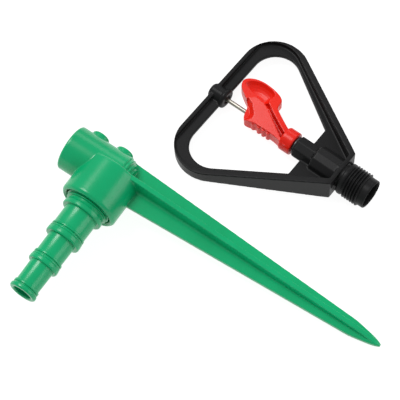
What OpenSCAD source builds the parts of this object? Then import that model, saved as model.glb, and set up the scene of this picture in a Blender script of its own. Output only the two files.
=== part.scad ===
// Garden sprinkler in its two halves, laid side by side on a table: a ground spike with a
// threaded tee and a stepped hose tail, and a delta-framed head with a free-spinning rotor.
//
// Each half is modelled upright, as it is used: +Z up along its own axis, the top socket's
// mouth (spike) or the thread's end (head) at z = 0, and its front facing -Y. lay() then puts
// it down on its back, in the common frame: +X along the spike, +Y towards the head, +Z up.

/* [Spike] */
// Length from the top socket's mouth to the point
spike_len = 214.7; // [205:0.5:225]
// Outer diameter of the top socket
socket_od = 28.4; // [28:0.2:30]
// Straight length of the top socket
socket_len = 36; // [35:0.5:38]
// Thread minor diameter in the top socket (G1/2)
socket_bore = 18.63; // [18.6:0.01:18.7]
// Depth of that thread, down to the gasket
socket_depth = 16; // [14:0.5:18]
// Width across the fins at the top of the stake
stake_w = 26.2; // [24:0.2:27]
// Width across the fins where the point begins
stake_tip_w = 10; // [9:0.2:12]
// Length of the leaf-shaped point
point_len = 20; // [15:1:24]
// Thickness of the stake's fins
fin_t = 3.2; // [2.6:0.1:4]

/* [Side port] */
// Distance of the side port's axis below the mouth
port_z = 30.4; // [30:0.1:31]
// Outer diameter of the side port
port_od = 36.4; // [36:0.2:38]
// Distance of the side port's rim from the spike's axis
port_reach = 26; // [26:0.5:30]
// Bore of the side port
port_bore = 30; // [29.6:0.1:30.4]
// Depth of the side port's bore
port_depth = 14; // [13:0.5:15]
// Diameter of the two moulded bosses
boss_od = 11.5; // [10:0.5:12]

/* [Hose tail] */
// Length from the port's rim to the tail's open end
tail_len = 63; // [61:0.2:66]
// Diameter of the flange
flange_od = 26; // [25:0.5:27]
// Ring diameter of the large, middle and small steps
ring_od = [22.4, 19.1, 17.1];
// Body diameter of the large, middle and small steps
step_od = [20.8, 16.9, 14.9];
// Bore through the tail
tail_bore = 11.4; // [10:0.2:12]

/* [Head] */
// Height from the thread's end to the outside of the top bar
head_h = 116.6; // [112:0.1:120]
// Half-width of the frame where the arms leave the base plate
base_half = 12.6; // [12:0.1:14]
// Lean of the arms from the head's axis, degrees
arm_lean = 30.8; // [29:0.1:32]
// Outer radius of the frame's two upper corners
corner_r = 21.7; // [19:0.1:23]
// Front-to-back depth of the frame at the base plate
rim_depth = 18; // [16:0.5:18]
// Front-to-back depth of the frame along the top bar
rim_depth_top = 8; // [7:0.5:10]
// Thickness of the frame's outer rim
rim_t = 2.5; // [2:0.1:3]
// Thickness of the frame's web
web_t = 2.5; // [2:0.1:3]
// Thread major diameter (G1/2)
thread_od = 20.955; // [20.9:0.005:21]
// Bore up through the thread and the nozzle tube
head_bore = 13; // [12:0.2:13.6]
// Wider bore at the thread's mouth
mouth_bore = 16; // [14:0.2:16.4]

/* [Rotor] */
// Outer diameter of the rotor's collar
collar_od = 14.8; // [14:0.2:16]
// Diameter of the steel pin
pin_d = 2.6; // [2.4:0.1:3]
// Front-to-back depth of the rotor's solid half
rotor_front = 6.5; // [6:0.1:7]
// Depth of the rotor behind its axis
rotor_back = 4.2; // [4:0.1:6]

/* [Hidden] */
$fn = 64;
green = "#16a870";
black = "#2d2d2d";
eps = 0.01;

// Top socket, gaskets and the way through the tee
gasket_t = 2;
gasket_d = 17.4;
way_d = 13;
dome_steps = [[13.4, 2.2], [11.8, 4.2], [9.6, 6]];

// Hose tail stations, measured outwards from the port's rim
flange_from = 1.2;
flange_to = 5.9;
ring_inner = [[18, 19.7], [37.4, 39.1], [58, 59.9]];
ring_outer = [[20.4, 24.8], [39.8, 43.8], [60.5, tail_len]];
ring_drop = [0.8, 0.5, 0.7];
thread_run = port_depth - gasket_t;
thread_clear = 0.05;

// Head stations, measured up from the thread's end
thread_from = 5.6;
thread_to = 15.7;
run_out_r = 10.2;
run_out_to = 18.8;
mouth_to = 14;
plate_from = 20.9;
plate_to = 23.6;
tube_step_z = 40.1;
tube_top_z = 53.6;
gusset_z = 46.6;
gusset_half = 18.4;
bar_w = 8.8;
arm_inner_lean = 32;
arm_inner_half = 19.3;
arm_inner_z = 46.6;
inner_corner_r = 15;
boss_r = 5.2;
boss_from = 109.3;
boss_to = 118.6;
collar_r = 6.4;
collar_from = 106.6;
lower_tube_r = 9.1;
upper_tube_r = 7.2;

// Nozzle, washer and pin
nozzle_r = 4.5;
nozzle_from = 41;
spigot_r = 4.2;
spigot_top = 61.5;
jet_r = 1.6;
washer_t = 1.2;
rotor_from = 55.4;
rotor_collar_to = 63.4;
pin_from = 80;
pin_to = 114;
pin_clear = 0.05;
floor_from = 2;
wall_front = 3.5;

// Where the two halves lie. The side port rests along its own length and the stake rests
// where its point begins, so the spike's axis slopes down to the point.
spike_pitch = asin((port_od / 2 - stake_tip_w / 2) / (spike_len - point_len - port_z));
spike_at = [-106.43, -23.4, port_od / 2 + port_z * sin(spike_pitch)];
// The head rests on its thread and on the collar under its top bar.
head_pitch = -atan((thread_od / 2 - collar_r) / (boss_from - thread_to));
head_up = thread_od / 2 * cos(head_pitch) - thread_to * sin(head_pitch);
head_yaw = -5;
head_from_spike = [162, 74.5];
head_at = [spike_at[0] + head_from_spike[0], spike_at[1] + head_from_spike[1], head_up];

// ---- Placing ----

// Lays an upright part on its back: its axis along X, pointing down the row
module lay(at, pitch, yaw) {
    translate(at)
        rotate([0, 0, yaw])
            rotate([0, pitch, 0])
                rotate([-90, 0, 0])
                    rotate([0, -90, 0])
                        children();
}

module as_spike() {
    lay(spike_at, spike_pitch, 0) children();
}

module as_head() {
    lay(head_at, head_pitch, head_yaw) children();
}

// Turns +Z into -X at the side port, with z = 0 on the port's rim
module at_port() {
    translate([-port_reach, 0, -port_z]) rotate([0, -90, 0]) children();
}

// Extrudes an outline drawn in X and Z, from y = near to y = far
module upright(near, far) {
    translate([0, far, 0]) rotate([90, 0, 0]) linear_extrude(far - near) children();
}

// ---- Outlines ----

// One pass of corner cutting around a closed outline
function cut_corners(p) = [
    for (i = [0 : len(p) - 1])
        let (a = p[i], b = p[(i + 1) % len(p)])
            each [0.75 * a + 0.25 * b, 0.25 * a + 0.75 * b]
];
function rounded(p) = cut_corners(cut_corners(p));

function arc(centre, r, from, to, steps) = [
    for (i = [0 : steps])
        let (t = from + (to - from) * i / steps)
            centre + r * [cos(t), sin(t)]
];

// Half-width of the stake's fins at a depth below the mouth, and the point's leaf shape
stake_top = socket_len;
kink = spike_len - point_len;
function leaf(t) = stake_tip_w / 2 * (1 - 0.72 * t - 0.28 * pow(t, 5));
module leaf_points() {
    polygon(concat([[0, -kink]], [for (i = [0 : 12]) [leaf(i / 12), -kink - point_len * i / 12]]));
}
module stake_half() {
    polygon([[0, -stake_top], [stake_w / 2, -stake_top - 1], [stake_tip_w / 2, -kink], [0, -kink]]);
    leaf_points();
}

// One half (x > 0) of the delta: outside edge, moved in by a distance
function arm_top_x(out) =
    base_half - out / cos(arm_lean) + (head_h - out - plate_from) * tan(arm_lean);
module delta_half(out, r) {
    top = head_h - out;
    turn = 90 + arm_lean;
    cut = r * tan(turn / 2);
    centre = [arm_top_x(out) - cut, top - r];
    polygon(concat(
        [[0, plate_from], [base_half - out / cos(arm_lean), plate_from]],
        arc(centre, r, 90 - turn, 90, 16),
        [[0, top]]
    ));
}

// One half of the open window inside the arms' webs
module window_half() {
    top = head_h - bar_w;
    top_x = arm_inner_half + (top - arm_inner_z) * tan(arm_inner_lean);
    turn = 90 + arm_inner_lean;
    cut = inner_corner_r * tan(turn / 2);
    centre = [top_x - cut, top - inner_corner_r];
    polygon(concat(
        [[-eps, gusset_z], [arm_inner_half - 0.9, gusset_z]],
        arc(centre, inner_corner_r, 90 - turn, 90, 16),
        [[-eps, top]]
    ));
}

module both_sides() {
    children();
    mirror([1, 0]) children();
}

// ---- Spike half ----

module socket_outer() {
    translate([0, 0, -socket_len]) cylinder(d = socket_od, h = socket_len);
    for (s = dome_steps)
        translate([0, 0, -socket_len - s[1]]) cylinder(r = s[0], h = s[1]);
}

module port_outer() {
    chamfer = 1.2;
    at_port() translate([0, 0, -port_reach - 1]) {
        cylinder(d = port_od, h = port_reach + 1 - chamfer);
        translate([0, 0, port_reach + 1 - chamfer])
            cylinder(d1 = port_od, d2 = port_od - 2 * chamfer, h = chamfer, $fn = 96);
    }
}

module stake() {
    intersection() {
        union() {
            upright(-fin_t / 2, fin_t / 2) both_sides() stake_half();
            rotate([0, 0, 90]) upright(-fin_t / 2, fin_t / 2) both_sides() stake_half();
        }
        union() {
            rotate_extrude() leaf_points();
            translate([0, 0, -kink - eps]) cylinder(d = socket_od + 10, h = kink);
        }
    }
}

module bosses() {
    proud = 2;
    for (z = [11.6, 28.8])
        translate([socket_od / 2 - 4, 0, -z])
            rotate([0, 90, 0])
                cylinder(d = boss_od, h = 4 + proud);
}

module spike_body() {
    color(green) as_spike() difference() {
        union() {
            socket_outer();
            port_outer();
            bosses();
            stake();
        }
        translate([0, 0, -socket_depth]) cylinder(d = socket_bore, h = socket_depth + 1);
        translate([0, 0, -socket_depth - gasket_t]) cylinder(d = gasket_d + 0.4, h = gasket_t + 1);
        translate([0, 0, -port_z]) cylinder(d = way_d, h = port_z);
        at_port() {
            translate([0, 0, -port_depth]) cylinder(d = port_bore, h = port_depth + 1);
            translate([0, 0, -port_reach]) cylinder(d = way_d, h = port_reach);
        }
    }
}

module socket_gasket() {
    color("#1c1c1c") as_spike() translate([0, 0, -socket_depth - gasket_t]) difference() {
        cylinder(d = gasket_d, h = gasket_t);
        translate([0, 0, -1]) cylinder(d = way_d - 0.6, h = gasket_t + 2);
    }
}

module tail_gasket() {
    color("#1c1c1c") as_spike() at_port() translate([0, 0, -port_depth]) difference() {
        cylinder(d = port_bore - 0.6, h = gasket_t);
        translate([0, 0, -1]) cylinder(d = way_d + 3, h = gasket_t + 2);
    }
}

module span(from, to, d) {
    translate([0, 0, from]) cylinder(d = d, h = to - from);
}

module hose_tail() {
    color(green) as_spike() at_port() difference() {
        union() {
            span(-thread_run, -0.4, port_bore - 2 * thread_clear);
            span(-0.5, flange_from + 0.1, step_od[0] + 3);
            span(flange_from, flange_to, flange_od);
            span(flange_to - 0.1, ring_outer[0][1] - 0.1, step_od[0]);
            span(ring_outer[0][1] - 0.2, ring_outer[1][1] - 0.1, step_od[1]);
            span(ring_outer[1][1] - 0.2, tail_len - 0.1, step_od[2]);
            for (i = [0 : 2]) {
                span(ring_inner[i][0], ring_inner[i][1], ring_od[i] - ring_drop[i]);
                span(ring_outer[i][0], ring_outer[i][1], ring_od[i]);
            }
        }
        translate([0, 0, -thread_run - 1]) cylinder(d = tail_bore, h = thread_run + tail_len + 2);
    }
}

// ---- Head half ----

// Limits the frame's front-to-back depth, which tapers up the arms
module depth_wedge() {
    knee_z = 92;
    rotate([90, 0, 90]) linear_extrude(140, center = true) polygon([
        [-rim_depth / 2, plate_from], [rim_depth / 2, plate_from],
        [rim_depth / 2, plate_to], [rim_depth_top / 2, knee_z],
        [rim_depth_top / 2, head_h], [-rim_depth_top / 2, head_h],
        [-rim_depth_top / 2, knee_z], [-rim_depth / 2, plate_to]
    ]);
}

module rim() {
    intersection() {
        upright(-rim_depth / 2, rim_depth / 2) both_sides() difference() {
            delta_half(0, corner_r);
            translate([0, plate_to - plate_from]) intersection() {
                delta_half(rim_t, corner_r - rim_t);
                translate([-1, 0]) square([100, head_h - rim_t - (plate_to - plate_from)]);
            }
        }
        depth_wedge();
    }
}

module web() {
    upright(-web_t / 2, web_t / 2) both_sides() difference() {
        delta_half(0.5, corner_r - 0.5);
        window_half();
    }
}

module neck_and_thread() {
    cylinder(r = 9.2, h = thread_from + 0.1);
    translate([0, 0, thread_from]) cylinder(d = thread_od, h = thread_to - thread_from);
    translate([0, 0, thread_to - 0.1]) cylinder(r = run_out_r, h = run_out_to - thread_to + 0.1);
    translate([0, 0, run_out_to - 0.1]) cylinder(r = 8.8, h = plate_from - run_out_to + 0.2);
    for (side = [-1, 1])
        translate([side * 8 - 1.3, -3, plate_from - 3.2]) cube([2.6, 6, 3.3]);
}

module tube() {
    translate([0, 0, plate_to - 0.1])
        cylinder(r = lower_tube_r, h = tube_step_z - plate_to + 0.1, $fn = 12);
    translate([0, 0, tube_step_z - 0.1])
        cylinder(r = upper_tube_r, h = tube_top_z - tube_step_z + 0.1, $fn = 8);
}

module top_boss() {
    translate([0, 0, boss_from]) cylinder(r = boss_r, h = boss_to - boss_from);
    translate([0, 0, collar_from]) cylinder(r = collar_r, h = boss_from - collar_from + 0.1);
}

module head_frame() {
    color(black) as_head() difference() {
        union() {
            rim();
            web();
            tube();
            neck_and_thread();
            top_boss();
        }
        translate([0, 0, -1]) cylinder(d = head_bore, h = nozzle_from + 1);
        translate([0, 0, -1]) cylinder(d = mouth_bore, h = mouth_to + 1);
        translate([0, 0, nozzle_from - 1]) cylinder(r = nozzle_r, h = tube_top_z);
        translate([0, 0, collar_from - 1]) cylinder(d = pin_d, h = pin_to - collar_from + 1);
    }
}

module nozzle() {
    color("#3a3a3a") as_head() difference() {
        union() {
            span(nozzle_from, tube_top_z, 2 * nozzle_r);
            span(tube_top_z - 0.1, spigot_top, 2 * spigot_r);
        }
        translate([0, 0, nozzle_from - 1]) cylinder(r = 3, h = 14);
        translate([0, 0, nozzle_from]) cylinder(r = jet_r, h = spigot_top);
    }
}

module thrust_washer() {
    color("#303030") as_head() translate([0, 0, tube_top_z]) difference() {
        cylinder(d = 11.6, h = washer_t);
        translate([0, 0, -1]) cylinder(r = spigot_r + pin_clear, h = washer_t + 2);
    }
}

module rotor_pin() {
    color("silver") as_head() span(pin_from, pin_to, pin_d);
}

// ---- Rotor ----

// Whole outline of the rotor above its collar, x and z
tail_side = [
    [-6.6, 58], [-6, 62], [-4.8, 67.6], [-4.8, 74], [-4.9, 82], [-6.3, 86], [-6.7, 89.4],
    [-2.6, 91.8], [3.4, 93], [7.2, 100]
];
rotor_outline = concat(tail_side, [
    [11.4, 104.9], [16.4, 105.9], [21.2, 98], [21.6, 86.8], [18.6, 78.6], [12.6, 78.6],
    [10.8, 75.4], [7.3, 69], [3.8, 62], [3.8, 58]
]);
// Solid half behind the flat front face, up to the curved ridge
solid_outline = concat(tail_side, [
    [11.4, 104.9], [14.4, 105.5], [10.8, 98], [9.6, 89], [8.8, 82.4], [3, 75], [-3, 64.5], [-3, 58]
]);
// What the jet's channel and the scoop leave out in front of the back wall
channel_outline = [
    [-5, 61], [1, 61.5], [4.9, 69.8], [8.5, 76.6], [11, 82.5], [14.4, 84.6],
    [19.4, 87], [19.4, 96.6], [15, 103.8], [13, 103.4], [7.4, 91.4], [2, 77.4], [-4, 67.4]
];

module bumps() {
    for (z = [72.2, 75.6, 79, 83.2])
        translate([-4.4, rotor_back, z]) rotate([90, 0, 0]) cylinder(r = 1.5, h = rotor_back + 2);
}

module rotor() {
    color("#e6281e") as_head() difference() {
        union() {
            upright(floor_from, rotor_back) polygon(rounded(rotor_outline));
            upright(-rotor_front, floor_from + 0.1) polygon(rounded(solid_outline));
            difference() {
                upright(-wall_front, floor_from + 0.1) polygon(rounded(rotor_outline));
                upright(-wall_front - 1, floor_from) polygon(rounded(channel_outline));
            }
            span(rotor_from, rotor_collar_to, collar_od);
            bumps();
        }
        span(rotor_from - 1, rotor_collar_to - 1, 2 * (spigot_r + pin_clear));
        span(rotor_from, 66, 5);
        span(pin_from - 0.4, 110, pin_d + 2 * pin_clear);
    }
}

spike_body();
socket_gasket();
hose_tail();
tail_gasket();
head_frame();
nozzle();
rotor_pin();
thrust_washer();
rotor();
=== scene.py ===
"""Looks of the garden sprinkler: a green ground spike with a tee and a stepped hose tail, beside
a black delta-framed head with a red rotor. Both halves lie on a pale table.

Each half is modelled upright in millimetres, as it is used: z = 0 at the top socket's mouth
(spike) or at the thread's end (head), +z up along its axis, its front facing -y. SPIKE and HEAD
then lay it down in the frame's own place.
"""

import math

import bmesh
import bpy
from mathutils import Matrix, Vector


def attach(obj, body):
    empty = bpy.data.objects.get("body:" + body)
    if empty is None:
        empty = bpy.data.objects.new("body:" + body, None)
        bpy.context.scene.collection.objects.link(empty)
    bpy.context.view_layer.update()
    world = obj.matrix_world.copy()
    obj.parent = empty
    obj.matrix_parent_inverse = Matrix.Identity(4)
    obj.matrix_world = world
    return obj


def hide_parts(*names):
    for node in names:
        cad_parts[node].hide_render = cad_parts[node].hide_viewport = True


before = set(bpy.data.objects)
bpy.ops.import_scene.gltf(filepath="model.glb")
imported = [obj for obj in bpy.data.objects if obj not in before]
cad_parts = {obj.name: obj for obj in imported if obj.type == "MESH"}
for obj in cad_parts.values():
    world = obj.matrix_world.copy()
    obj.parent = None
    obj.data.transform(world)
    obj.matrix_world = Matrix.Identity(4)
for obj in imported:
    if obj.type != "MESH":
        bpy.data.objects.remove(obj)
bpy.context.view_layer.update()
MM = 0.001

# ---- Main sizes, in millimetres ----

# Water way through the spike and the head's neck
WAY_R = 6.5

# Spike: top socket, side port, and the stake with its leaf-shaped point
SOCKET_R, SOCKET_LEN = 14.2, 36.0
SOCKET_THREAD_DEPTH, SOCKET_SEAL_T = 16.0, 2.0
PORT_R, PORT_Z, PORT_REACH = 18.2, 30.4, 26.0
PORT_BORE_R, PORT_DEPTH, TAIL_SEAL_T = 15.0, 14.0, 2.0
STAKE_HALF, POINT_HALF = 13.1, 5.0
POINT_FROM, TIP = 194.7, 214.7
BLIND_BOSS_R, BLIND_BOSS_AT = 5.75, (11.6, 28.8)

# Hose tail: its bore, and the far end
TAIL_BORE_R, TAIL_END = 5.7, 62.98

# Head: frame, base plate, thread, and the boss on the top bar
HEAD_H, BASE_HALF, LEAN, CORNER_R = 116.6, 12.6, 30.8, 21.7
RIM_T, WEB_T, PLATE_FROM, PLATE_TO = 2.5, 2.5, 20.9, 23.6
THREAD_R, THREAD_PITCH, THREAD_TO = 10.4775, 1.814, 15.7
COLLAR_R, BOSS_R, BOSS_FROM, BOSS_TO = 6.4, 5.2, 109.3, 118.6
WINDOW_LEAN, WINDOW_R, WINDOW_SILL, BAR_W = 32.0, 15.0, 46.6, 8.8

# Nozzle, pin and rotor
SPIGOT_R, NOZZLE_SEAT_R, PIN_R, RUNNING_FIT = 4.2, 4.5, 1.3, 0.05
ROTOR_BACK, ROTOR_WALL = 4.1, -3.5
ROTOR_CLEAR_FRONT = -9.0

# ---- Where the two halves lie ----

SPIKE_PITCH = math.asin((PORT_R - POINT_HALF) / (POINT_FROM - PORT_Z))
SPIKE_AT = (-106.43, -23.4, PORT_R + PORT_Z * math.sin(SPIKE_PITCH))
HEAD_ALONG, HEAD_ACROSS, HEAD_YAW = 162.0, 74.5, -5
HEAD_PITCH = -math.atan((THREAD_R - COLLAR_R) / (BOSS_FROM - THREAD_TO))
HEAD_UP = THREAD_R * math.cos(HEAD_PITCH) - THREAD_TO * math.sin(HEAD_PITCH)
HEAD_AT = (SPIKE_AT[0] + HEAD_ALONG, SPIKE_AT[1] + HEAD_ACROSS, HEAD_UP)


def quarter_turn(axis, sign=1):
    return Matrix.Rotation(math.radians(90 * sign), 4, axis)


def laid(at, pitch, yaw):
    """Matrix from an upright half in millimetres to the row frame in metres."""
    lie = Matrix.Rotation(math.radians(yaw), 4, "Z") @ Matrix.Rotation(pitch, 4, "Y")
    turn = lie @ quarter_turn("X", -1) @ quarter_turn("Y", -1)
    return Matrix.Translation(Vector(at) * MM) @ turn @ Matrix.Scale(MM, 4)


SPIKE = laid(SPIKE_AT, SPIKE_PITCH, 0)
HEAD = laid(HEAD_AT, HEAD_PITCH, HEAD_YAW)
# The side port and the hose tail: +z out of the port, z = 0 on its rim
PORT = Matrix.Translation((-PORT_REACH, 0, -PORT_Z)) @ quarter_turn("Y", -1)


# ---- Materials ----


def plastic(name, light, dark, rough, grain, bump, spec=0.5, sheen=0.0):
    """Moulded plastic: slow colour drift, a fine grain and uneven gloss."""
    mat = bpy.data.materials.new(name)
    mat.use_nodes = True
    nodes, link = mat.node_tree.nodes, mat.node_tree.links.new
    shader = nodes["Principled BSDF"]
    coords = nodes.new("ShaderNodeTexCoord")
    drift = nodes.new("ShaderNodeTexNoise")
    drift.inputs["Scale"].default_value = 38.0
    drift.inputs["Detail"].default_value = 4.0
    drift.inputs["Roughness"].default_value = 0.55
    link(coords.outputs["Object"], drift.inputs["Vector"])
    ramp = nodes.new("ShaderNodeValToRGB")
    ramp.color_ramp.elements[0].position = 0.3
    ramp.color_ramp.elements[0].color = (*dark, 1)
    ramp.color_ramp.elements[1].position = 0.7
    ramp.color_ramp.elements[1].color = (*light, 1)
    link(drift.outputs["Fac"], ramp.inputs["Fac"])
    link(ramp.outputs["Color"], shader.inputs["Base Color"])
    fine = nodes.new("ShaderNodeTexNoise")
    fine.inputs["Scale"].default_value = grain
    fine.inputs["Detail"].default_value = 3.0
    link(coords.outputs["Object"], fine.inputs["Vector"])
    uneven(nodes, link, shader, fine, rough, bump, 0.0002)
    shader.inputs["Specular IOR Level"].default_value = spec
    if sheen:
        shader.inputs["Sheen Weight"].default_value = sheen
        shader.inputs["Sheen Roughness"].default_value = 0.4
    return mat


def uneven(nodes, link, shader, noise, rough, bump, depth):
    """Lets a noise vary the gloss between two roughnesses and raise a slight relief."""
    gloss = nodes.new("ShaderNodeMapRange")
    gloss.inputs["To Min"].default_value = rough[0]
    gloss.inputs["To Max"].default_value = rough[1]
    link(noise.outputs["Fac"], gloss.inputs["Value"])
    link(gloss.outputs["Result"], shader.inputs["Roughness"])
    relief = nodes.new("ShaderNodeBump")
    relief.inputs["Strength"].default_value = bump
    relief.inputs["Distance"].default_value = depth
    link(noise.outputs["Fac"], relief.inputs["Height"])
    link(relief.outputs["Normal"], shader.inputs["Normal"])


def steel():
    """Drawn wire: fine scratches and a warm reflection."""
    mat = bpy.data.materials.new("drawn_steel")
    mat.use_nodes = True
    nodes, link = mat.node_tree.nodes, mat.node_tree.links.new
    shader = nodes["Principled BSDF"]
    coords = nodes.new("ShaderNodeTexCoord")
    stretch = nodes.new("ShaderNodeMapping")
    stretch.inputs["Scale"].default_value = (40.0, 1400.0, 1400.0)
    link(coords.outputs["Object"], stretch.inputs["Vector"])
    lines = nodes.new("ShaderNodeTexNoise")
    lines.inputs["Scale"].default_value = 1.0
    lines.inputs["Detail"].default_value = 5.0
    link(stretch.outputs["Vector"], lines.inputs["Vector"])
    tone = nodes.new("ShaderNodeValToRGB")
    tone.color_ramp.elements[0].color = (0.24, 0.22, 0.19, 1)
    tone.color_ramp.elements[1].color = (0.50, 0.47, 0.42, 1)
    link(lines.outputs["Fac"], tone.inputs["Fac"])
    link(tone.outputs["Color"], shader.inputs["Base Color"])
    uneven(nodes, link, shader, lines, (0.35, 0.5), 0.15, 0.0001)
    shader.inputs["Metallic"].default_value = 1.0
    shader.inputs["Specular Tint"].default_value = (0.3, 0.28, 0.25, 1)
    return mat


GREEN = plastic("green_moulding", light=(0.0008, 0.385, 0.150), dark=(0.0004, 0.33, 0.122),
                rough=(0.2, 0.28), grain=700, bump=0.03, spec=0.35)
BLACK = plastic("black_moulding", light=(0.014, 0.014, 0.0145), dark=(0.011, 0.011, 0.0114),
                rough=(0.3, 0.4), grain=1400, bump=0.06, spec=0.09)
RED = plastic("red_moulding", light=(0.76, 0.017, 0.006), dark=(0.68, 0.010, 0.004),
              rough=(0.24, 0.32), grain=700, bump=0.012, spec=0.26)
GREY = plastic("grey_insert", light=(0.05, 0.05, 0.053), dark=(0.035, 0.035, 0.038),
               rough=(0.4, 0.5), grain=1500, bump=0.1)
RUBBER = plastic("black_rubber", light=(0.014, 0.014, 0.014), dark=(0.009, 0.009, 0.009),
                 rough=(0.65, 0.8), grain=2600, bump=0.25, spec=0.3, sheen=0.1)
ACETAL = plastic("dark_acetal", light=(0.03, 0.03, 0.032), dark=(0.02, 0.02, 0.022),
                 rough=(0.3, 0.4), grain=1200, bump=0.04)
STEEL = steel()


# ---- Mesh building, in millimetres ----


def mesh_object(name, verts, faces):
    mesh = bpy.data.meshes.new(name)
    mesh.from_pydata([tuple(v) for v in verts], [], faces)
    bm = bmesh.new()
    bm.from_mesh(mesh)
    bmesh.ops.remove_doubles(bm, verts=bm.verts, dist=1e-5)
    bmesh.ops.recalc_face_normals(bm, faces=bm.faces)
    bm.to_mesh(mesh)
    bm.free()
    obj = bpy.data.objects.new(name, mesh)
    bpy.context.scene.collection.objects.link(obj)
    return obj


def loft(name, rings, matrix=None):
    """Closed solid through rings of equal length, capped at both ends."""
    n = len(rings[0])
    verts = [v for ring in rings for v in ring]
    faces = []
    for k in range(len(rings) - 1):
        for i in range(n):
            j = (i + 1) % n
            faces.append((k * n + i, k * n + j, (k + 1) * n + j, (k + 1) * n + i))
    faces.append(tuple(range(n)))
    faces.append(tuple(range((len(rings) - 1) * n, len(rings) * n)))
    obj = mesh_object(name, verts, faces)
    if matrix:
        obj.data.transform(matrix)
    return obj


def prism(name, outline, near, far):
    """An outline in x and z, extruded from y = near to y = far."""
    return loft(name, [[(x, y, z) for x, z in outline] for y in (near, far)])


def softened(points, radius, steps=4, closed=True):
    """Replaces each corner of an outline by an arc of about that radius."""
    out = []
    n = len(points)
    for i, p in enumerate(points):
        if not closed and i in (0, n - 1):
            out.append(tuple(p))
            continue
        a, b, c = Vector(points[i - 1]), Vector(p), Vector(points[(i + 1) % n])
        u, v = a - b, c - b
        if u.length < 1e-6 or v.length < 1e-6:
            continue
        reach = min(radius, 0.45 * u.length, 0.45 * v.length)
        p0, p2 = b + u.normalized() * reach, b + v.normalized() * reach
        for s in range(steps + 1):
            t = s / steps
            out.append(tuple((1 - t) ** 2 * p0 + 2 * t * (1 - t) * b + t * t * p2))
    return out


def turned(name, profile, matrix=None, seg=96):
    """Closed profile of (radius, z) points turned about z. Points on the axis close it there."""
    verts, faces, rings = [], [], []
    for r, z in profile:
        if r < 1e-6:
            rings.append([len(verts)])
            verts.append((0, 0, z))
        else:
            rings.append(list(range(len(verts), len(verts) + seg)))
            verts += [
                (r * math.cos(2 * math.pi * i / seg), r * math.sin(2 * math.pi * i / seg), z)
                for i in range(seg)
            ]
    for a, b in zip(rings, rings[1:] + rings[:1]):
        for i in range(seg):
            j = (i + 1) % seg
            if len(a) == 1 and len(b) == 1:
                break
            if len(a) == 1:
                faces.append((a[0], b[j], b[i]))
            elif len(b) == 1:
                faces.append((a[i], a[j], b[0]))
            else:
                faces.append((a[i], a[j], b[j], b[i]))
    obj = mesh_object(name, verts, faces)
    if matrix:
        obj.data.transform(matrix)
    return obj


def solid_turned(name, profile, ease, steps, matrix=None, seg=96):
    """Turned solid whose profile starts and ends on the axis, with eased corners between."""
    return turned(name, softened(profile, ease, steps, closed=False), matrix, seg)


def helix(name, root, crest, pitch, low, high, matrix=None, width=0.78, fade=0.35):
    """Closed screw ridge from z = low to z = high. Its ends sink into the root."""
    half = pitch * width / 2
    sink = -0.4 if crest > root else 0.4
    # Share of the ridge's height, and share of its half width there
    flank = [(0, 1), (0.62, 0.44), (0.94, 0.16)]
    shape = [(s, -half * w) for s, w in flank] + [(1, 0)]
    shape += [(s, half * w) for s, w in reversed(flank)]
    turns = (high - low - 2 * half) / pitch
    steps = int(72 * turns)
    rings = []
    for k in range(steps + 1):
        t = k / steps
        ease = min(1, t * turns / fade, (1 - t) * turns / fade)
        ease = ease * ease * (3 - 2 * ease)
        ang = 2 * math.pi * turns * t
        z = low + half + turns * pitch * t
        ring = []
        for s, dz in shape:
            r = root + (crest - root) * s * ease
            ring.append((r * math.cos(ang), r * math.sin(ang), z + dz))
        r = root + sink
        ring.append((r * math.cos(ang), r * math.sin(ang), z + half))
        ring.append((r * math.cos(ang), r * math.sin(ang), z - half))
        rings.append(ring)
    return loft(name, rings, matrix)


def evaluated(obj):
    """Applies an object's modifiers to its mesh."""
    graph = bpy.context.evaluated_depsgraph_get()
    mesh = bpy.data.meshes.new_from_object(obj.evaluated_get(graph))
    old = obj.data
    obj.modifiers.clear()
    obj.data = mesh
    bpy.data.meshes.remove(old)
    return obj


def combine(base, tools, how):
    """Boolean of base with each tool in turn. The tools are used up."""
    for tool in tools:
        mod = base.modifiers.new("op", "BOOLEAN")
        mod.operation = how
        mod.solver = "EXACT"
        mod.object = tool
        bpy.context.view_layer.update()
        evaluated(base)
        bpy.data.objects.remove(tool)
    return base


def moulded(obj, voxel, rounds):
    """Even small mesh with every edge eased, as a moulding has."""
    mod = obj.modifiers.new("remesh", "REMESH")
    mod.mode = "VOXEL"
    mod.voxel_size = voxel
    mod.adaptivity = 0
    soft = obj.modifiers.new("soft", "SMOOTH")
    soft.factor = 0.5
    soft.iterations = rounds
    bpy.context.view_layer.update()
    return evaluated(obj)


def lay_down(obj, name, matrix, body, slot, material, *nodes):
    """Lays a finished piece down in the frame and hands it to its body."""
    obj.data.transform(matrix)
    obj.name = name
    obj.data.name = name
    obj.data.materials.clear()
    obj.data.materials.append(material)
    obj.data.shade_smooth()
    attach(obj, body)
    if nodes:
        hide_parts(*nodes)


# ---- Outlines ----


def arc(centre, r, start, end, steps):
    """Points of an arc in x and z, from one angle to another in degrees."""
    angles = [math.radians(start + (end - start) * i / steps) for i in range(steps + 1)]
    return [(centre[0] + r * math.cos(a), centre[1] + r * math.sin(a)) for a in angles]


def mirrored(half):
    """Whole outline from its right half, listed from the bottom up."""
    return half + [(-x, z) for x, z in reversed(half) if x > 1e-6]


def leaning_side(foot, top, lean, r, steps):
    """Rounded upper right corner of a delta whose side leans out from its foot."""
    top_x = foot[0] + (top - foot[1]) * math.tan(math.radians(lean))
    turn = 90 + lean
    cut = r * math.tan(math.radians(turn / 2))
    return arc((top_x - cut, top - r), r, 90 - turn, 90, steps)


def polygon(sides, r, z):
    """Ring of a regular prism about z."""
    angles = [math.radians(360 / sides * i) for i in range(sides)]
    return [(r * math.cos(a), r * math.sin(a), z) for a in angles]


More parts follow.
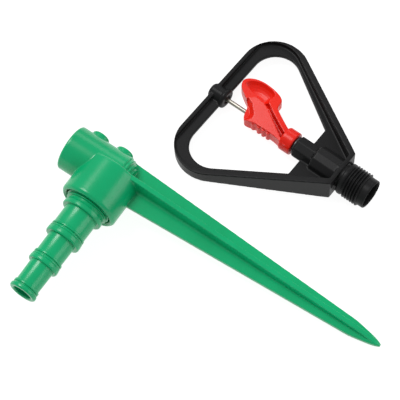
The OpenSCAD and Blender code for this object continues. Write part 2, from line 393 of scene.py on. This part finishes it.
def cut_corners(points, rounds=2):
    """Rounds an outline by cutting every corner at a quarter of its sides, again and again."""
    for _ in range(rounds):
        cut = []
        for a, b in zip(points, points[1:] + points[:1]):
            cut.append(tuple(0.75 * x + 0.25 * y for x, y in zip(a, b)))
            cut.append(tuple(0.25 * x + 0.75 * y for x, y in zip(a, b)))
        points = cut
    return points


def inset(points, d):
    """Moves an outline in by about d, by pulling each point along its inward normal."""
    n = len(points)
    after = points[1:] + points[:1]
    area = sum(a[0] * b[1] - b[0] * a[1] for a, b in zip(points, after))
    sign = 1 if area > 0 else -1
    out = []
    for i, (x, z) in enumerate(points):
        tx, tz = after[i][0] - points[i - 1][0], after[i][1] - points[i - 1][1]
        length = math.hypot(tx, tz) or 1
        out.append((x - sign * tz / length * d, z + sign * tx / length * d))
    return out


def shrunk(points, share, middle=None):
    """An outline scaled towards a point, or towards its own middle."""
    cx, cz = middle or [sum(p[k] for p in points) / len(points) for k in (0, 1)]
    return [(cx + (x - cx) * share, cz + (z - cz) * share) for x, z in points]


def level(outline, y):
    """An outline in x and z as a ring at one y."""
    return [(x, y, z) for x, z in outline]


# ---- Spike ----

SOCKET_PROFILE = [
    (0, -0.4), (SOCKET_R - 1.0, -0.4), (SOCKET_R, -1.3), (SOCKET_R, -SOCKET_LEN),
    (13.4, -SOCKET_LEN - 0.2), (13.4, -38.2), (11.8, -38.4), (11.8, -40.2), (9.6, -40.4),
    (9.6, -42), (0, -42),
]
PORT_PROFILE = [
    (0, -27.4), (PORT_R - 1.2, -27.4), (PORT_R, -26.2), (PORT_R, -1.5), (PORT_R - 1.5, 0), (0, 0),
]
BLIND_BOSS_PROFILE = [(0, 9), (BLIND_BOSS_R, 9), (BLIND_BOSS_R, 15.3), (5.0, 16.2), (0, 16.3)]
SEAT = SOCKET_THREAD_DEPTH + SOCKET_SEAL_T
SOCKET_BORE = [
    (0, 2), (10.4, 2), (10.4, -0.4), (9.4, -1.4), (9.4, -SOCKET_THREAD_DEPTH),
    (8.9, -SOCKET_THREAD_DEPTH), (8.9, -SEAT), (WAY_R, -SEAT), (WAY_R, -PORT_Z), (0, -PORT_Z),
]
PORT_BORE = [
    (0, 2), (16.2, 2), (16.2, -0.1), (PORT_BORE_R, -1.1), (PORT_BORE_R, -PORT_DEPTH),
    (WAY_R, -PORT_DEPTH), (WAY_R, -PORT_REACH), (0, -PORT_REACH),
]
FIN_ROOT_T, FIN_EDGE_T = 3.3, 2.9
# Share of the half-width that keeps the root's thickness
FIN_ROOT_SHARE = 0.12
# The fins get thinner where the point is narrower than this, down to this share
THIN_BELOW, THIN_LEAST = 2.2, 0.12
# Core between the fins: its section, and that section's scale at distances down the stake
ROOT_WIDE, ROOT_NARROW = 2.6, 1.4
ROOT_TAPER = ((1.0, 38), (0.95, 110), (0.75, 190), (0.4, 206))


def leaf(t):
    """Half-width of the point from its start (t = 0) to the tip (t = 1)."""
    return POINT_HALF * (1 - 0.72 * t - 0.28 * t**5)


def fin(name, matrix=None):
    """One pair of the stake's fins, thinner at the edges, ending in the leaf-shaped point."""
    top, body_steps, point_steps = SOCKET_LEN - 4, 24, 14
    taper = (POINT_HALF - STAKE_HALF) / (POINT_FROM - SOCKET_LEN)
    rows = []
    for i in range(body_steps + 1):
        down = top + (POINT_FROM - top) * i / body_steps
        rows.append((STAKE_HALF + taper * (down - SOCKET_LEN), down))
    for i in range(1, point_steps):
        t = i / point_steps
        rows.append((leaf(t), POINT_FROM + (TIP - POINT_FROM) * t))
    rings = []
    for half, down in rows:
        thin = min(1, half / THIN_BELOW + THIN_LEAST)
        inner, edge = FIN_ROOT_T / 2 * thin, FIN_EDGE_T / 2 * thin
        near = half * FIN_ROOT_SHARE
        front = [(-half, -edge), (-near, -inner), (near, -inner), (half, -edge)]
        ring = front + [(-x, -y) for x, y in front]
        rings.append([(x, y, -down) for x, y in ring])
    return loft(name, rings, matrix)


def fin_root():
    """Core that fills the corners between the fins."""
    wide, narrow = ROOT_WIDE, ROOT_NARROW
    half = [(wide, narrow), (narrow, wide), (-narrow, wide), (-wide, narrow)]
    section = half + [(-x, -y) for x, y in half]
    return loft("fin_root", [[(x * k, y * k, -down) for x, y in section] for k, down in ROOT_TAPER])


def spike_body():
    body = solid_turned("socket", SOCKET_PROFILE, 0.5, 3)
    port = solid_turned("port", PORT_PROFILE, 1.3, 4, PORT)
    across = [Matrix.Translation((0, 0, -z)) @ quarter_turn("Y") for z in BLIND_BOSS_AT]
    bosses = [solid_turned("boss", BLIND_BOSS_PROFILE, 0.7, 4, matrix, 64) for matrix in across]
    fins = [fin("fin_flat"), fin("fin_rib", quarter_turn("Z"))]
    body = combine(body, [port, *bosses, *fins, fin_root()], "UNION")
    bores = [
        solid_turned("bore", SOCKET_BORE, 0.2, 2),
        solid_turned("port_bore", PORT_BORE, 0.2, 2, PORT),
    ]
    body = combine(body, bores, "DIFFERENCE")
    body = moulded(body, 0.32, 3)
    lay_down(body, "spike_moulding", SPIKE, "spike", "green_plastic", GREEN, "spike_body")
    ridge = helix("spike_socket_thread", 9.45, 8.6, THREAD_PITCH, -15.6, -1.4, width=0.7)
    lay_down(ridge, "spike_socket_thread", SPIKE, "spike", "green_plastic", GREEN)


# ---- Hose tail, +z out of the port ----

THREAD_END = [
    (TAIL_BORE_R, -12.0), (12.9, -12.0), (13.9, -11.2), (13.9, -2.0), (14.3, -1.5), (14.3, -0.9),
    (13.1, -0.7), (13.1, -0.3), (13.6, -0.1), (13.6, 0.5), (12.1, 0.8),
]
FLANGE = [(12.2, 2.7), (12.7, 2.9), (13.0, 3.2), (13.0, 5.4), (12.5, 5.9), (10.5, 5.9)]
LARGE_STEP = [
    (10.4, 17.9), (10.85, 18.1), (10.85, 19.3), (10.2, 19.6), (10.2, 19.9), (10.95, 20.2),
    (11.05, 20.9), (10.75, 21.2), (10.8, 21.4), (11.2, 21.7), (11.2, 24.0), (10.8, 24.8), (8.6, 24.8),
]
MIDDLE_STEP = [
    (8.45, 37.3), (9.2, 37.5), (9.2, 38.7), (8.5, 39.0), (8.5, 39.4), (9.3, 39.6), (9.35, 40.4),
    (9.1, 40.6), (9.15, 40.8), (9.55, 41.1), (9.55, 43.0), (9.15, 43.8), (7.6, 43.8),
]
SMALL_STEP = [
    (7.4, 57.9), (8.1, 58.1), (8.1, 59.4), (7.5, 59.7), (7.5, 60.2), (8.35, 60.5), (8.55, 61.0),
    (8.55, 62.2), (7.9, TAIL_END), (6.3, TAIL_END), (TAIL_BORE_R, 62.4),
]


def hose_tail():
    profile = THREAD_END + FLANGE + LARGE_STEP + MIDDLE_STEP + SMALL_STEP
    tail = turned("tail", softened(profile, 0.18, 4), PORT, 128)
    lay_down(tail, "hose_tail_turned", SPIKE, "tail", "green_plastic", GREEN, "hose_tail")
    ridge = helix("tail_thread", 13.85, 14.9, 2.0, -11.6, -2.2, PORT, width=0.8, fade=0.25)
    lay_down(ridge, "hose_tail_thread", SPIKE, "tail", "green_plastic", GREEN)


# ---- Head ----

NECK_PROFILE = [
    (0, 0.0), (8.9, 0.0), (9.25, 0.5), (9.25, 15.6), (10.15, 16.2), (10.15, 18.5), (8.3, 18.7),
    (8.3, PLATE_FROM), (9.4, 21.4), (0, 21.4),
]
TOP_BOSS_PROFILE = [
    (0, 106.6), (5.6, 106.6), (COLLAR_R, 107.3), (COLLAR_R, 108.8), (5.9, BOSS_FROM),
    (BOSS_R, 109.5), (BOSS_R, 117.2), (4.0, BOSS_TO), (0, BOSS_TO),
]
HEAD_BORE = [
    (0, -1), (8.45, -1), (8.45, 0.2), (8.0, 1.4), (8.0, 14), (WAY_R, 15), (WAY_R, 41),
    (NOZZLE_SEAT_R, 41), (NOZZLE_SEAT_R, 55), (0, 55),
]
PIN_SEAT = [(0, 105), (2.9, 105), (2.9, 107.6), (1.34, 107.6), (1.34, 114), (0, 114)]
# Front-to-back half depth of the rim: deep at the base plate, shallow along the top bar
RIM_HALF, RIM_HALF_TOP = 9, 4


def delta(inward, r, lift=0.0, cap=None):
    """The frame's outline, moved in by inward and up by lift, and cut off at cap."""
    foot = (BASE_HALF - inward / math.cos(math.radians(LEAN)), PLATE_FROM)
    half = [foot] + leaning_side(foot, HEAD_H - inward, LEAN, r, 28)
    half = [(x, z + lift) for x, z in half]
    if cap is not None:
        half = [(x, min(z, cap)) for x, z in half]
    return mirrored(half)


def window():
    """Opening of the frame's web, above the gussets beside the tube."""
    side = leaning_side((19.3, WINDOW_SILL), HEAD_H - BAR_W, WINDOW_LEAN, WINDOW_R, 24)
    return mirrored([(18.4, WINDOW_SILL)] + side)


def wedge():
    """Front-to-back limit of the rim."""
    side = [(RIM_HALF, PLATE_FROM - 1), (RIM_HALF, PLATE_TO), (RIM_HALF_TOP, 92), (RIM_HALF_TOP, HEAD_H + 1)]
    ring = side + [(-y, z) for y, z in reversed(side)]
    return loft("wedge", [[(x, y, z) for y, z in ring] for x in (-70, 70)])


def head_frame():
    rim = prism("rim", delta(0, CORNER_R), -RIM_HALF, RIM_HALF)
    inside = delta(RIM_T, CORNER_R - RIM_T, PLATE_TO - PLATE_FROM, HEAD_H - RIM_T)
    rim = combine(rim, [prism("hollow", inside, -12, 12)], "DIFFERENCE")
    rim = combine(rim, [wedge()], "INTERSECT")
    web = prism("web", delta(0.4, CORNER_R - 0.4), -WEB_T / 2, WEB_T / 2)
    web = combine(web, [prism("window", window(), -5, 5)], "DIFFERENCE")
    lower = [polygon(12, r, z) for r, z in ((9.1, PLATE_FROM), (9.1, 39.3), (8.3, 40.1))]
    upper = [polygon(8, r, z) for r, z in ((7.2, 38), (7.2, 53.0), (6.6, 53.6))]
    tube = [loft("tube_low", lower), loft("tube_up", upper)]
    neck = solid_turned("neck", NECK_PROFILE, 0.4, 3)
    lug = [(7.2, 18.4), (9.0, 18.4), (9.6, 21.2), (7.2, 21.2)]
    other = [(-x, z) for x, z in reversed(lug)]
    lugs = [prism("lug", outline, -3, 3) for outline in (lug, other)]
    boss = solid_turned("top_boss", TOP_BOSS_PROFILE, 0.6, 4, None, 72)
    body = combine(rim, [web, *tube, neck, *lugs, boss], "UNION")
    bores = [solid_turned("bore", HEAD_BORE, 0.2, 2), turned("pin_seat", PIN_SEAT, None, 48)]
    body = combine(body, bores, "DIFFERENCE")
    body = moulded(body, 0.36, 4)
    lay_down(body, "head_moulding", HEAD, "head", "black_plastic", BLACK, "head_frame")
    ridge = helix("head_thread", 9.2, 10.45, THREAD_PITCH, 3.4, 16.6, width=0.94, fade=0.3)
    lay_down(ridge, "head_thread_ridge", HEAD, "head", "black_plastic", BLACK)


# ---- Rotor, its outlines in x and z ----

TAIL_SIDE = [
    (-6.6, 58.0), (-6.0, 62.0), (-4.8, 67.6), (-4.8, 74.0), (-4.9, 82.0), (-6.3, 86.0),
    (-6.6, 89.3), (-2.6, 91.7), (3.4, 92.9), (7.2, 99.9),
]
LOBE = [
    (11.4, 105.2), (17.2, 106.9), (22.1, 98.4), (21.8, 86.7), (18.8, 78.0), (12.6, 78.1),
    (10.8, 75.4), (7.3, 69.0), (3.8, 62.0), (3.8, 58.0),
]
RIDGE = [
    (11.4, 104.8), (14.0, 105.2), (12.6, 100.6), (10.6, 96.0), (9.4, 91.0), (9.0, 87.0),
    (8.2, 83.2), (6.3, 79.9), (3.6, 75.4), (0.4, 70.1), (-2.9, 64.8), (-5.0, 61.0), (-5.0, 58.0),
]
GROOVE = [
    (-6.2, 61), (-0.6, 60.8), (0.8, 63.6), (2.0, 66.2), (4.7, 71.4), (7.7, 77.0), (9.7, 80.3),
    (12.4, 84.8), (10, 89), (5, 88), (0.5, 77.4), (-4.4, 66.4),
]
BOWL = [
    (5.5, 86), (8.6, 82.6), (11.8, 84.0), (14.4, 85.2), (17.3, 83.9), (19.6, 84.9), (20.8, 89.8),
    (20.8, 95.4), (19.1, 100.2), (16.6, 103.2), (13.4, 103.8), (8.6, 98), (5.4, 91),
]
BOWL_MIDDLE = (9.5, 91.5)
# Depth y, and the outline's scale there
GROOVE_STEPS = ((ROTOR_CLEAR_FRONT, 1.0), (0.9, 1.0), (2.0, 0.9))
BOWL_STEPS = (
    (ROTOR_CLEAR_FRONT, 1.0), (-3.3, 1.0), (-2.7, 0.965), (-1.4, 0.88), (-0.3, 0.76), (0.5, 0.6), (0.8, 0.4),
)
DENT_MOUTH = [(-8.4, 87.4), (-3.2, 84.9), (-0.4, 86.0), (4.6, 91.2), (6.2, 95.4), (-3, 96), (-9, 92)]
DENT_FLOOR = [(-8.4, 89.6), (-3.2, 88.3), (-0.9, 88.6), (2.6, 92.0), (4.2, 95.4), (-3, 96), (-9, 92)]
COLLAR_PROFILE = [(0, 55.4), (7.0, 55.4), (7.4, 55.9), (7.4, 62.6), (6.7, 63.4), (0, 63.4)]
BUMP_X, BUMP_R, BUMP_AT = -4.4, 1.5, (72.2, 75.6, 79.0, 83.2)


def face_limit():
    """Front limit of the solid half: a face that rises to the ridge and drops at the tip."""
    low, high, behind = 50, 132, 4
    # The falling plane: its height at fall_from, and how much it loses for each mm up
    fall_from, fall_height, fall = 92, 6.5, 0.1
    top_front = fall * (high - fall_from) - fall_height
    rings = []
    for x in (-12, 26):
        rise = 5.4 + 0.13 * x
        knee = fall_from + (fall_height - rise) / fall
        side = [(-rise, low), (-rise, knee), (top_front, high), (behind, high), (behind, low)]
        rings.append([(x, y, z) for y, z in side])
    return loft("face_limit", rings)


def bump(z):
    """One round bump on the rotor's straight side."""
    angles = [2 * math.pi * i / 24 for i in range(24)]
    outline = [(BUMP_X + BUMP_R * math.cos(a), z + BUMP_R * math.sin(a)) for a in angles]
    return prism("bump", outline, -3.4, 4.0)


def rotor():
    whole = cut_corners(TAIL_SIDE + LOBE, 3)
    low = inset(whole, 0.45)
    shell = loft("rotor_shell", [
        level(low, ROTOR_BACK), level(whole, ROTOR_BACK - 0.6),
        level(whole, ROTOR_WALL + 0.5), level(low, ROTOR_WALL),
    ])
    groove_top = cut_corners(GROOVE, 2)
    groove = loft("groove", [level(shrunk(groove_top, k), y) for y, k in GROOVE_STEPS])
    bowl_top = cut_corners(BOWL, 3)
    bowl = loft("bowl", [level(shrunk(bowl_top, k, BOWL_MIDDLE), y) for y, k in BOWL_STEPS])
    shell = combine(shell, [groove, bowl], "DIFFERENCE")
    half = prism("rotor_half", cut_corners(TAIL_SIDE + RIDGE, 3), ROTOR_CLEAR_FRONT, 1.6)
    half = combine(half, [face_limit()], "INTERSECT")
    collar = solid_turned("collar", COLLAR_PROFILE, 0.5, 3)
    body = combine(shell, [half, collar, *[bump(z) for z in BUMP_AT]], "UNION")
    mouth, floor = DENT_MOUTH, DENT_FLOOR
    dent = loft("dent", [level(mouth, ROTOR_CLEAR_FRONT), level(mouth, -5.2), level(floor, -2.6)])
    fit_r = SPIGOT_R + RUNNING_FIT
    spigot_bore = [(0, 54), (fit_r, 54), (fit_r, 62.4), (2.5, 62.4), (2.5, 66), (0, 66)]
    pin_bore = [(0, 79.6), (1.36, 79.6), (1.36, 97), (0, 97)]
    bores = [turned("spigot_bore", spigot_bore), turned("pin_bore", pin_bore, None, 48)]
    body = combine(body, [dent, *bores], "DIFFERENCE")
    body = moulded(body, 0.24, 3)
    lay_down(body, "rotor_moulding", HEAD, "rotor", "red_plastic", RED, "rotor")


# ---- Small pieces ----

PIN_PROFILE = [(0, 80), (0.9, 80), (PIN_R, 80.5), (PIN_R, 114), (0, 114)]
NOZZLE_PROFILE = [
    (3.0, 41), (NOZZLE_SEAT_R, 41), (NOZZLE_SEAT_R, 53.6), (SPIGOT_R, 54.0), (SPIGOT_R, 60.9),
    (3.6, 61.5), (1.6, 61.5), (1.6, 55), (3.0, 54),
]


def washer(inner, outer, low, high, ease, matrix=None, seg=96):
    """Flat ring with eased edges."""
    section = [(inner, low), (outer, low), (outer, high), (inner, high)]
    return turned("washer", softened(section, ease, 3), matrix, seg)


def small_pieces():
    pin = solid_turned("pin", PIN_PROFILE, 0.3, 3, None, 48)
    lay_down(pin, "rotor_pin_wire", HEAD, "head", "steel", STEEL, "rotor_pin")
    nozzle = turned("nozzle", softened(NOZZLE_PROFILE, 0.3, 3), None, 64)
    lay_down(nozzle, "nozzle_insert", HEAD, "head", "grey_plastic", GREY, "nozzle")
    ring = washer(SPIGOT_R + RUNNING_FIT, 5.8, 53.6, 54.8, 0.25, None, 72)
    lay_down(ring, "thrust_washer_ring", HEAD, "head", "dark_acetal", ACETAL, "thrust_washer")
    seal = washer(6.2, 8.7, -SEAT, -SOCKET_THREAD_DEPTH, 0.4)
    lay_down(seal, "socket_gasket_ring", SPIKE, "spike", "black_rubber", RUBBER, "socket_gasket")
    seal = washer(8.0, 14.7, -PORT_DEPTH, TAIL_SEAL_T - PORT_DEPTH, 0.4, PORT)
    lay_down(seal, "tail_gasket_ring", SPIKE, "tail_seal", "black_rubber", RUBBER, "tail_gasket")


spike_body()
hose_tail()
head_frame()
rotor()
small_pieces()


# ---- Table, light and camera, in metres ----

TABLE_HALF, TABLE_Z = 4, -0.0002
# Name, place, size and power of each softbox. All of them face the origin.
SOFTBOXES = (
    ("overhead", (-0.46, 0.02, 1.15), (0.42, 0.34), 0.6),
    ("side", (1.1, 0.4, 0.5), (0.8, 0.8), 4.6),
    ("back", (-0.5, 0.9, 0.7), (0.9, 0.4), 2.0),
)
KEY_FROM, KEY_ENERGY, KEY_ANGLE = (-0.5, 0.05, 0.85), 1.95, math.radians(26)


def table():
    half = TABLE_HALF
    corners = [(-half, -half, TABLE_Z), (half, -half, TABLE_Z), (half, half, TABLE_Z), (-half, half, TABLE_Z)]
    floor = mesh_object("table_top", corners, [(0, 1, 2, 3)])
    white = bpy.data.materials.new("table_white")
    white.use_nodes = True
    shader = white.node_tree.nodes["Principled BSDF"]
    shader.inputs["Base Color"].default_value = (0.2, 0.2, 0.2, 1)
    shader.inputs["Roughness"].default_value = 0.85
    shader.inputs["Specular IOR Level"].default_value = 0.1
    shader.inputs["Emission Color"].default_value = (1, 1, 1, 1)
    shader.inputs["Emission Strength"].default_value = 0.93
    floor.data.materials.append(white)


def lamp_object(lamp, from_side):
    """Object of a lamp that shines from that side towards the origin."""
    obj = bpy.data.objects.new(lamp.name, lamp)
    obj.rotation_mode = "QUATERNION"
    obj.rotation_quaternion = (-Vector(from_side)).to_track_quat("-Z", "Y")
    bpy.context.scene.collection.objects.link(obj)
    return obj


def lights():
    world = bpy.data.worlds.new("studio")
    world.use_nodes = True
    sky = world.node_tree.nodes["Background"]
    sky.inputs["Color"].default_value = (1, 1, 1, 1)
    sky.inputs["Strength"].default_value = 0.42
    bpy.context.scene.world = world
    for name, spot, size, power in SOFTBOXES:
        lamp = bpy.data.lights.new(name, "AREA")
        lamp.shape = "RECTANGLE"
        lamp.size, lamp.size_y = size
        lamp.energy = power
        lamp_object(lamp, spot).location = spot
    sun = bpy.data.lights.new("key", "SUN")
    sun.energy, sun.angle = KEY_ENERGY, KEY_ANGLE
    lamp_object(sun, KEY_FROM)


def camera():
    """Looks steeply down at the table from the front right, with its frame kept level."""
    target = Vector((-29.08, -2.28, 0)) * MM
    back = Vector((193.1, -292.9, 752.2))
    right = Vector((0.835, 0.5505, 0)).normalized()
    away = back.normalized()
    up = away.cross(right).normalized()
    right = up.cross(away)
    turn = Matrix((right, up, away)).transposed()
    lens = bpy.data.cameras.new("view")
    lens.lens, lens.sensor_width = 126.2, 36.0
    lens.clip_start, lens.clip_end = 0.05, 20
    obj = bpy.data.objects.new("view", lens)
    obj.matrix_world = Matrix.Translation(target + back * MM) @ turn.to_4x4()
    bpy.context.scene.collection.objects.link(obj)
    bpy.context.scene.camera = obj


table()
lights()
camera()
bpy.context.scene.view_settings.view_transform = "Standard"
